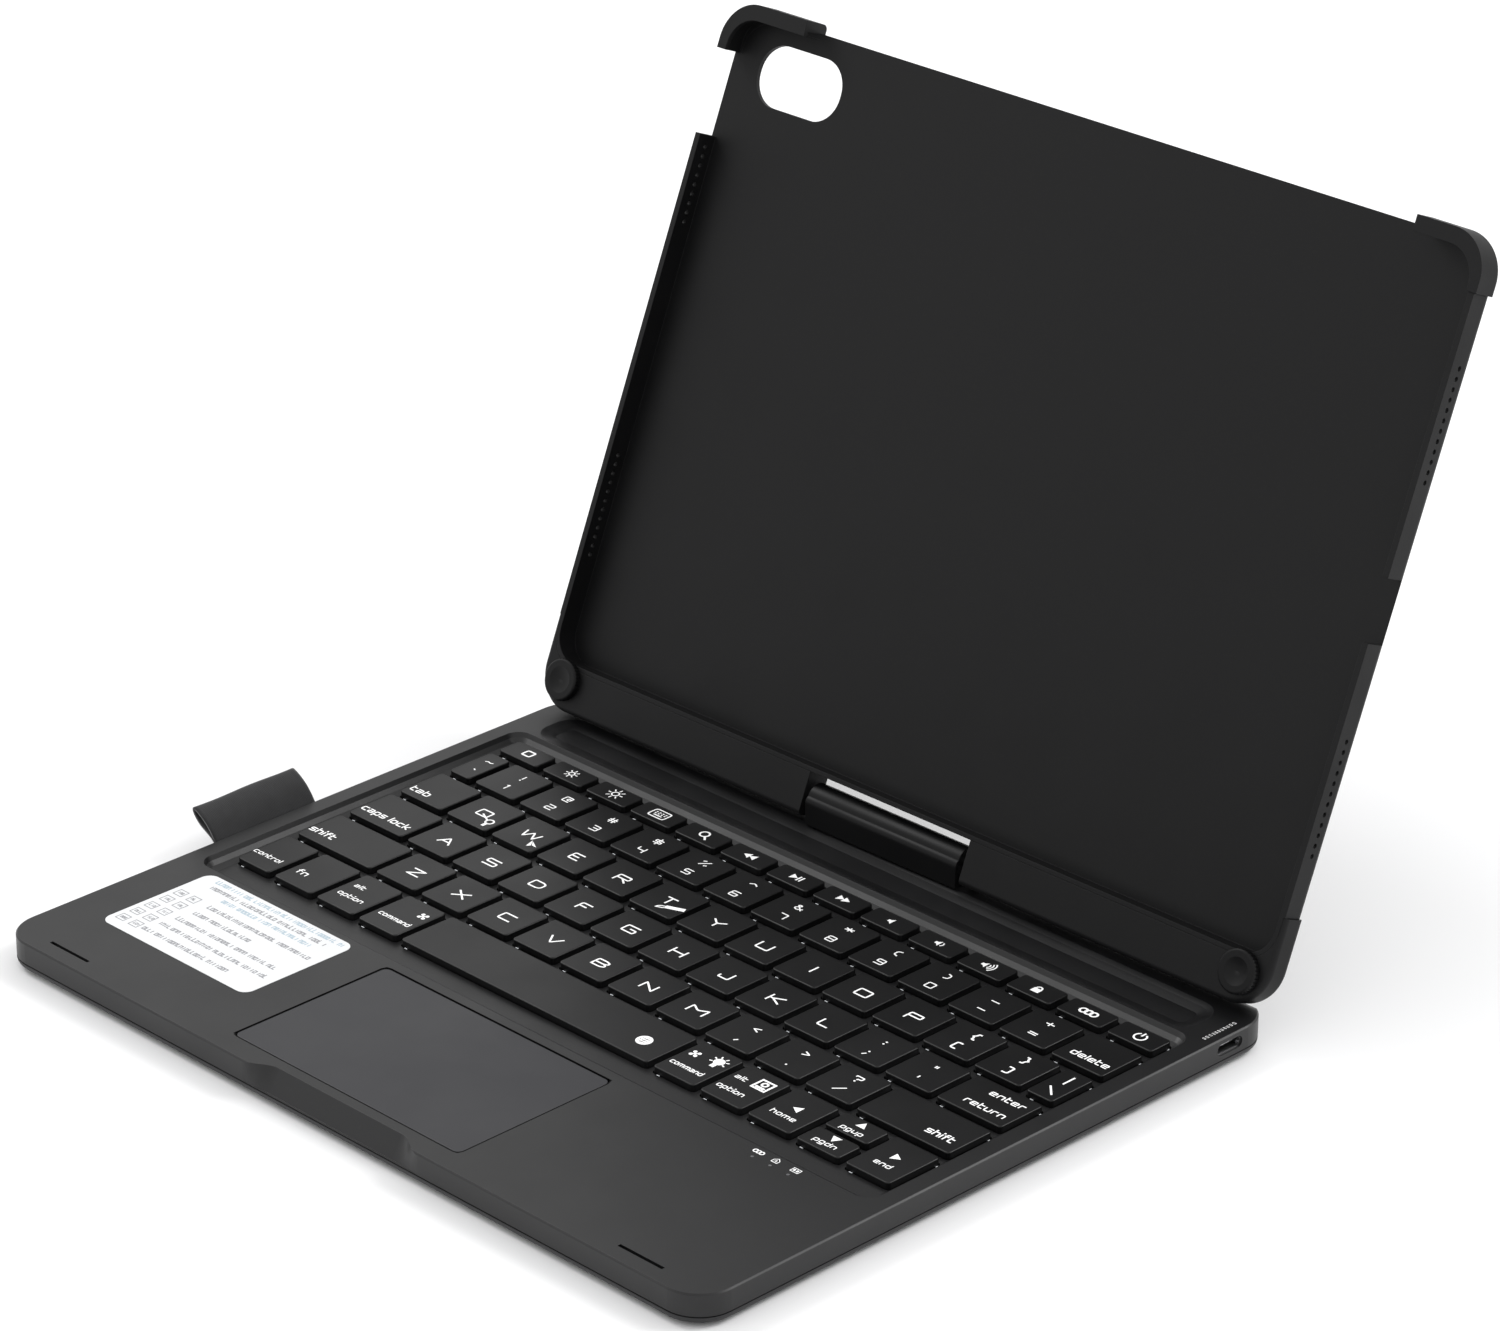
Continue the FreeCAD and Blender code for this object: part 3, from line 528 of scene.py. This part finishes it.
def make_function_row():
    """Media icons, from the escape square on the left to the power key."""
    m = Marks(plane_at(KEY_TOP + PRINT_LIFT))
    c = [(x + 0.3, y + 0.1) for x, y in (centre(r) for r in cap_rects("keys_function_row"))]
    x, y = c[0]
    m.line(eased(corners(x, y, 1.4, 1.3), True, 0.5), 0.6, True)
    sun(m, *c[1], 2.1)
    sun(m, *c[2], 2.6)
    x, y = c[3]
    m.line(eased(corners(x, y, 2.8, 1.9), True, 0.7), 0.42, True)
    for i in range(4):
        m.line([(x - 1.7 + i * 1.1, y + 0.75), (x - 1.4 + i * 1.1, y + 0.75)], 0.42)
        m.line([(x - 1.7 + i * 1.1, y), (x - 1.4 + i * 1.1, y)], 0.42)
    m.line([(x - 1.3, y - 0.85), (x + 1.3, y - 0.85)], 0.45)
    x, y = c[4]
    m.arc(x - 0.4, y + 0.4, 1.35, 0, 360, 0.5)
    m.line([(x + 0.6, y - 0.6), (x + 1.8, y - 1.8)], 0.6)
    x, y = c[5]
    triangle(m, x - 1.0, y, 1.25, "left")
    triangle(m, x + 0.95, y, 1.25, "left")
    x, y = c[6]
    triangle(m, x - 0.9, y, 1.25, "right")
    m.rect(x + 0.5, y - 1.25, x + 1.0, y + 1.25)
    m.rect(x + 1.5, y - 1.25, x + 2.0, y + 1.25)
    x, y = c[7]
    triangle(m, x - 1.0, y, 1.25, "right")
    triangle(m, x + 0.95, y, 1.25, "right")
    x, y = c[8]
    speaker(m, x + 0.4, y)
    x, y = c[9]
    speaker(m, x, y)
    m.arc(x + 0.1, y, 1.1, -45, 45, 0.36)
    x, y = c[10]
    speaker(m, x - 0.8, y)
    m.arc(x - 0.7, y, 1.1, -45, 45, 0.36)
    m.arc(x - 0.7, y, 1.9, -45, 45, 0.36)
    m.arc(x - 0.7, y, 2.7, -45, 45, 0.36)
    x, y = c[11]
    m.rect(x - 1.25, y - 1.7, x + 1.25, y + 0.2)
    m.arc(x, y + 0.3, 0.85, 0, 180, 0.45)
    loops(m, *c[12], 1.35)
    m.build("legend_function_row", INK, "keys_function_row")
    m = Marks(plane_at(KEY_TOP + PRINT_LIFT))
    x, y = centre(cap_rects("key_power")[0])
    m.arc(x + 0.6, y - 0.1, 1.65, 125, 415, 0.48)
    m.line([(x + 0.6, y + 0.4), (x + 0.6, y + 1.9)], 0.48)
    m.build("legend_power", INK, "key_power")


def word_key(node, *lines, extra=None):
    """Each line is (text, left, baseline, capital height, length), measured from the middle of the cap."""
    m = Marks(plane_at(KEY_TOP + PRINT_LIFT))
    cx, cy = centre(cap_rects(node)[0])
    cx += 0.3
    cy -= 0.4
    for words, dx, dy, height, width in lines:
        m.text(words, cx + dx, cy + dy, height, width, weight=0.18, align=0.0)
    if extra:
        extra(m, cx, cy)
    m.build("legend_" + node.replace("key_", ""), INK, node)


def cross_mark(m, x, y):
    """A plain cross with round ends."""
    for a in (45, 135, 225, 315):
        dx = math.cos(math.radians(a))
        dy = math.sin(math.radians(a))
        m.disc(x + dx * 1.05, y + dy * 1.05, 0.55, 12)
        m.line([(x, y), (x + dx, y + dy)], 0.45)


def lamp(m, x, y, r):
    m.disc(x, y + 0.4 * r, 0.62 * r, 16)
    m.rect(x - 0.28 * r, y - 0.75 * r, x + 0.28 * r, y)
    y += 0.4 * r
    for a in (-20, 25, 65, 115, 155, 200):
        dx = math.cos(math.radians(a))
        dy = math.sin(math.radians(a))
        m.line([(x + 0.75 * r * dx, y + 0.75 * r * dy), (x + r * dx, y + r * dy)], 0.4)


def framed_mark(m, x, y, half):
    m.line(corners(x, y, half, half), 0.6, True)
    m.arc(x, y + 0.5, 0.8, 0, 360, 0.55)
    m.line([(x - 1.2, y - 1.25), (x + 1.2, y - 1.25)], 0.8)


def extra_mark(name, node, index, draw):
    """A small second picture at the front right of one letter."""
    m = Marks(plane_at(KEY_TOP + SECOND_PRINT_LIFT))
    cx, cy = centre(cap_rects(node)[index])
    draw(m, cx + 0.4, cy)
    m.build(name, INK, node)


def make_extra_marks():
    def ring(m, x, y):
        m.arc(x + 4.2, y - 3.1, 1.15, 0, 360, 0.5)
        m.rect(x + 3.7, y - 5.9, x + 4.7, y - 4.2)

    def dart(m, x, y):
        m.polygon([(x + 2.6, y - 2.2), (x + 3.6, y - 5.6), (x + 4.4, y - 4.6)])
        m.polygon([(x + 3.0, y - 2.6), (x + 4.6, y - 4.4), (x + 6.2, y - 4.4)])

    def brush(m, x, y):
        m.line([(x + 2.3, y - 3.3), (x + 6.3, y - 1.7)], 1.5)
        tip = [(x - 0.3, y - 5.2), (x + 2.0, y - 4.2), (x + 2.6, y - 3.0), (x + 0.2, y - 3.9)]
        m.line(eased(tip, True, 0.5), 0.4, True)

    extra_mark("legend_q_extra", "keys_q_row", 0, ring)
    extra_mark("legend_w_extra", "keys_q_row", 1, dart)
    extra_mark("legend_t_extra", "keys_q_row", 4, brush)


def make_word_keys():
    def left_meta(m, x, y):
        cross_mark(m, x + 3.9, y + 3.7)

    def right_meta(m, x, y):
        cross_mark(m, x - 4.2, y + 3.0)
        lamp(m, x + 2.8, y + 3.2, 2.5)

    def right_alt(m, x, y):
        framed_mark(m, x + 2.5, y + 3.6, 2.1)

    def arrow(direction, dx, dy):
        def draw(m, x, y):
            triangle(m, x + dx, y + dy, 1.45, direction)
        return draw

    word_key("key_tab", ("tab", -7.1, -4.5, 2.35, 6.5))
    word_key("key_caps_lock", ("caps lock", -9.6, -3.5, 2.35, 17.4))
    word_key("key_shift_left", ("shift", -13.9, -3.4, 2.35, 8.6))
    word_key("key_shift_right", ("shift", 3.5, -3.2, 2.35, 8.2))
    word_key("key_enter", ("enter", -2.6, 2.7, 2.1, 10.6), ("return", -4.8, -3.8, 2.1, 12.4))
    word_key("key_delete", ("delete", -5.3, -3.6, 2.2, 11.5))
    word_key("key_control", ("control", -6.2, -3.0, 1.65, 9.8))
    word_key("key_fn", ("fn", -5.0, -3.0, 2.1, 3.5))
    word_key("key_alt_left", ("alt", -4.8, 2.4, 1.6, 3.4), ("option", -5.1, -2.9, 1.65, 8.7))
    word_key("key_meta_left", ("command", -5.6, -2.9, 1.65, 10.8), extra=left_meta)
    word_key("key_meta_right", ("command", -5.9, -3.9, 1.65, 10.4), extra=right_meta)
    word_key("key_alt_right", ("alt", -5.6, 1.9, 1.6, 3.4), ("option", -5.9, -3.9, 1.65, 8.5),
             extra=right_alt)
    word_key("key_arrow_left", ("home", -4.1, -3.7, 1.65, 7.6), extra=arrow("left", 0.0, 1.4))
    word_key("key_arrow_right", ("end", -2.9, -3.4, 1.65, 5.0), extra=arrow("right", -0.3, 1.7))
    word_key("key_arrow_up", ("pgup", -3.5, -2.1, 1.6, 6.7), extra=arrow("up", 0.0, 2.0))
    word_key("key_arrow_down", ("pgdn", -3.8, -1.3, 1.6, 6.9), extra=arrow("down", 0.0, 2.3))


def make_space_mark():
    """A disc at the right end of the space bar, crossed by thin dark lines."""
    m = Marks(plane_at(KEY_TOP + PRINT_LIFT))
    rect = cap_rects("key_space")[0]
    x = rect[1] - 8.2
    y = (rect[2] + rect[3]) / 2 - 1.5
    m.disc(x, y, 2.2, 28)
    m.build("legend_space", INK, "key_space")
    m = Marks(plane_at(KEY_TOP + SECOND_PRINT_LIFT))
    for half, dy in ((1.3, 0.7), (1.5, -0.1), (1.3, -0.9)):
        m.line([(x - half, y + dy), (x + half, y + dy)], 0.16)
    m.line([(x - 0.3, y - 1.6), (x + 0.4, y + 1.6)], 0.16)
    m.build("legend_space_lines", MATS["key_plastic"], "key_space")


def make_light_leaks():
    """Backlight that shows on the well floor at the caps' edges."""
    m = Marks(plane_at(WELL_FLOOR + 0.03))
    for name in sorted(KEYS):
        for x0, x1, y0, y1 in cap_rects(name):
            m.rect(x0 + 1.7, y0 - 0.4, x0 + 2.7, y0 - 0.12)
            if x1 > 115.0:
                m.rect(x1 + 0.06, y1 - 1.7, x1 + 0.3, y1 - 1.0)
    m.build("light_leaks", LEAK, "base")


# ------------------------------------------------------------------ deck marks

def make_indicator_icons():
    m = Marks(plane_at(BASE_TOP + DECK_PRINT_LIFT))
    y = FRONT + 57.3
    loops(m, 86.2, y, 0.8)
    m.line([(91.1, y - 0.9), (92.9, y - 0.9), (92.9, y + 0.2), (92.0, y + 1.0), (91.1, y + 0.2)], 0.2, True)
    m.text("A", 92.0, y - 0.6, 0.9, 0.7)
    m.line([(97.2, y - 0.8), (99.6, y - 0.8), (99.6, y + 0.8), (97.2, y + 0.8)], 0.2, True)
    m.rect(97.6, y - 0.4, 98.2, y + 0.4)
    m.rect(98.6, y - 0.4, 99.2, y + 0.4)
    m.build("indicator_icons", INK, "base")


def make_port_marks():
    """Small meaningless strokes beside the charging socket."""
    m = Marks(plane_at(BASE_TOP + DECK_PRINT_LIFT))
    left = 121.6
    right = 122.5
    pen = FRONT + 172.2
    while pen < FRONT + 183.6:
        step = random.uniform(0.5, 0.9)
        top = pen + step * 0.6
        m.line([(left, pen), (right, pen), (right, top), (left, top)], 0.1, random.random() < 0.5)
        pen += step + 0.45
    # the legend ink glows, so these printed strokes glow too: painted light
    m.build("port_marks", INK, "base")


def squiggle(m, x, y, length, height, width):
    """A run of small meaningless strokes, as long as a word."""
    pen = 0.0
    while pen < length:
        kind = random.randrange(4)
        w = height * random.uniform(0.45, 0.7)
        left = x + pen
        right = x + pen + w
        middle = x + pen + w / 2
        if kind == 0:
            m.line([(left, y), (left, y + height), (right, y + height), (right, y)], width)
        elif kind == 1:
            m.line([(left, y), (right, y), (right, y + height), (left, y + height)], width, True)
        elif kind == 2:
            m.line([(right, y), (left, y), (left, y + height * random.uniform(1.0, 1.4))], width)
        else:
            m.line([(middle, y), (middle, y + height)], width)
        pen += w + height * 0.35


def make_sticker_print():
    """Rows of strokes without meaning; each row is (height up the sticker, start, stop, ink)."""
    x0 = -112.0
    y0 = FRONT + 21.6
    grey = Marks(plane_at(BASE_TOP + STICKER_PRINT_LIFT))
    blue = Marks(plane_at(BASE_TOP + STICKER_PRINT_LIFT))
    rows = [(33.8, 5, 53, blue), (30.9, 6, 50, grey), (28.0, 14, 48, blue), (23.4, 14, 52, grey),
            (18.9, 14, 35, grey), (14.0, 13, 51, grey), (9.4, 12, 52, grey), (4.8, 11, 43, grey)]
    for t, s0, s1, ink in rows:
        s = s0
        while s < s1:
            word = min(random.uniform(2.2, 5.2), s1 - s)
            squiggle(ink, x0 + s, y0 + t - 0.6, word, 1.15, 0.3)
            s += word + 1.0
    for t in (23.4, 18.9, 14.0, 9.4, 4.8):
        for s in (3.2, 8.2):
            grey.line(corners(x0 + s, y0 + t, 1.5, 1.4), 0.24, True)
            squiggle(grey, x0 + s - 0.8, y0 + t - 0.4, 1.6, 0.8, 0.22)
    grey.build("sticker_print", GREY_INK, "base")
    blue.build("sticker_print_pale", BLUE_INK, "base")


def make_pad_gap_shade():
    """Painted shade: a near-black band in the gap round the trackpad, standing in for the gap's shadow."""
    m = Marks(plane_at(BASE_TOP + GAP_SHADE_LIFT))
    gap = 0.26
    x0 = PAD[0] - gap
    x1 = PAD[1] + gap
    y0 = FRONT + PAD[2] - gap
    y1 = FRONT + PAD[3] + gap
    m.line(eased([(x0, y0), (x1, y0), (x1, y1), (x0, y1)], True, 1.6), 0.34, True)
    # wider on the left and rear sides, where more of the gap's shaded wall shows: painted shade
    m.line(eased([(x0, y0 + 0.6), (x0, y1), (x1 - 0.6, y1)], False, 1.6), 0.56)
    m.build("pad_gap_shade", GAP_SHADE, "base")


# ------------------------------------------------------------------ works under the keys

def make_key_springs():
    """The domes and frames under the keys, cut into one piece for each key body and set on the base."""
    caps = [(rect, key) for key in KEYS for rect in cap_rects(key)]

    def owner(x, y):
        """The key whose cap lies over that point, or is nearest to it."""
        return min(caps, key=lambda c: max(c[0][0] - x, x - c[0][1], c[0][2] - y, y - c[0][3]))[1]

    for source, material in (("rubber_domes", "dome_rubber"), ("scissor_frames", "frame_plastic")):
        mesh = NODES[source].data
        faces = {key: [] for key in KEYS}
        points = {key: {} for key in KEYS}
        for p in mesh.polygons:
            key = owner(p.center.x / MM, p.center.y / MM)
            faces[key].append([points[key].setdefault(v, len(points[key])) for v in p.vertices])
        for key in KEYS:
            name = key.split("_", 1)[1]
            share = bpy.data.meshes.new(source + "_" + name)
            share.from_pydata([mesh.vertices[v].co for v in points[key]], [], faces[key])
            share.materials.append(MATS[material])
            piece = add_object(share.name, share)
            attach(piece, "base")
            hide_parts(source)
            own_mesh(piece)


# ------------------------------------------------------------------ pencil loop

# x, and height over the deck, from the slot round the loop and back
LOOP_PATH = [(-125.4, -1.9), (-126.6, -0.9), (-127.8, 0.15), (-129.7, 1.1), (-131.9, 2.15), (-133.6, 3.7),
             (-134.6, 5.2), (-134.4, 6.05), (-133.2, 5.8), (-130.9, 4.5), (-128.8, 2.85), (-127.2, 1.0),
             (-126.2, -0.5), (-125.4, -1.6)]


def loop_line():
    """Points along the smooth middle line of the loop, at y = 0, in metres."""
    curve = bpy.data.curves.new("loop_path", "CURVE")
    curve.dimensions = "3D"
    spline = curve.splines.new("NURBS")
    spline.points.add(len(LOOP_PATH) - 1)
    for p, (x, z) in zip(spline.points, LOOP_PATH):
        p.co = (x * MM, 0.0, (BASE_TOP + z) * MM, 1.0)
    spline.order_u = 3
    spline.use_endpoint_u = True
    curve.resolution_u = 8
    path = add_object("loop_path", curve)
    sampled = bpy.data.meshes.new_from_object(path)
    line = [v.co.copy() for v in sampled.vertices]
    bpy.data.objects.remove(path)
    return line


def make_pencil_loop():
    line = loop_line()
    y0 = (FRONT + LOOP_Y[0]) * MM
    y1 = (FRONT + LOOP_Y[1]) * MM
    width = y1 - y0
    rows = 40
    verts = []
    uvs = []
    run = 0.0
    for i, p in enumerate(line):
        if i:
            run += (p - line[i - 1]).length
        for j in range(rows + 1):
            t = j / rows
            sag = 0.00012 * math.sin(t * 9.0 + i * 0.05)
            verts.append((p.x, y0 + width * t, p.z + sag))
            uvs.append((run, width * t))
    faces = []
    for i in range(len(line) - 1):
        for j in range(rows):
            a = i * (rows + 1) + j
            faces.append((a, a + rows + 1, a + rows + 2, a + 1))
    mesh = bpy.data.meshes.new("elastic_loop")
    mesh.from_pydata(verts, [], faces)
    layer = mesh.uv_layers.new(name="UVMap")
    for corner in mesh.loops:
        layer.data[corner.index].uv = uvs[corner.vertex_index]
    for p in mesh.polygons:
        p.use_smooth = True
    mesh.materials.append(MATS["elastic_band"])
    obj = add_object("elastic_loop", mesh)
    solid = obj.modifiers.new("thickness", "SOLIDIFY")
    solid.thickness = LOOP_THICKNESS * MM
    solid.offset = 0.0
    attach(obj, "base")
    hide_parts("pencil_loop")


# ------------------------------------------------------------------ floor, light, camera

# name, place, point that it faces, size in metres, power
LIGHTS = [("key", (-1.35, -0.3, 1.4), (0.0, 0.0, 0.0), 0.7, 10.0),
          ("back", (0.95, 1.15, 1.4), (0.0, 0.0, 0.0), 0.8, 16.0)]
WORLD_LIGHT = 0.95
CAMERA_LENS = 141.555
CAMERA_PLACE = (0.93435, -0.87857, 0.69034)
CAMERA_TURN = (64.974, -0.101, 45.489)


def make_stage():
    bpy.ops.mesh.primitive_plane_add(size=12.0, location=(0.0, 0.0, 0.0))
    floor = bpy.context.object
    floor.name = "floor"
    mat, _, bsdf = shader("floor_white")
    bsdf.inputs["Base Color"].default_value = (0.9, 0.9, 0.905, 1.0)
    bsdf.inputs["Roughness"].default_value = 0.9
    bsdf.inputs["Specular IOR Level"].default_value = 0.1
    floor.data.materials.append(mat)
    world = bpy.data.worlds.new("studio")
    bpy.context.scene.world = world
    world.use_nodes = True
    background = world.node_tree.nodes["Background"]
    background.inputs["Color"].default_value = (1.0, 1.0, 1.0, 1.0)
    background.inputs["Strength"].default_value = WORLD_LIGHT
    for name, place, target, size, power in LIGHTS:
        data = bpy.data.lights.new(name, "AREA")
        data.shape = "SQUARE"
        data.size = size
        data.energy = power
        light = add_object(name, data)
        light.location = place
        light.rotation_euler = (Vector(target) - Vector(place)).to_track_quat("-Z", "Y").to_euler()


def make_camera():
    data = bpy.data.cameras.new("camera")
    data.sensor_width = 36.0
    data.lens = CAMERA_LENS
    data.clip_start = 0.01
    data.clip_end = 60.0
    cam = add_object("camera", data)
    cam.location = CAMERA_PLACE
    cam.rotation_euler = tuple(math.radians(a) for a in CAMERA_TURN)
    bpy.context.scene.camera = cam
    bpy.context.scene.view_settings.view_transform = "Standard"


make_letter_rows()
make_function_row()
make_word_keys()
make_space_mark()
make_extra_marks()
make_light_leaks()
make_indicator_icons()
make_port_marks()
make_sticker_print()
make_pad_gap_shade()
make_key_springs()
make_pencil_loop()
make_stage()
make_camera()
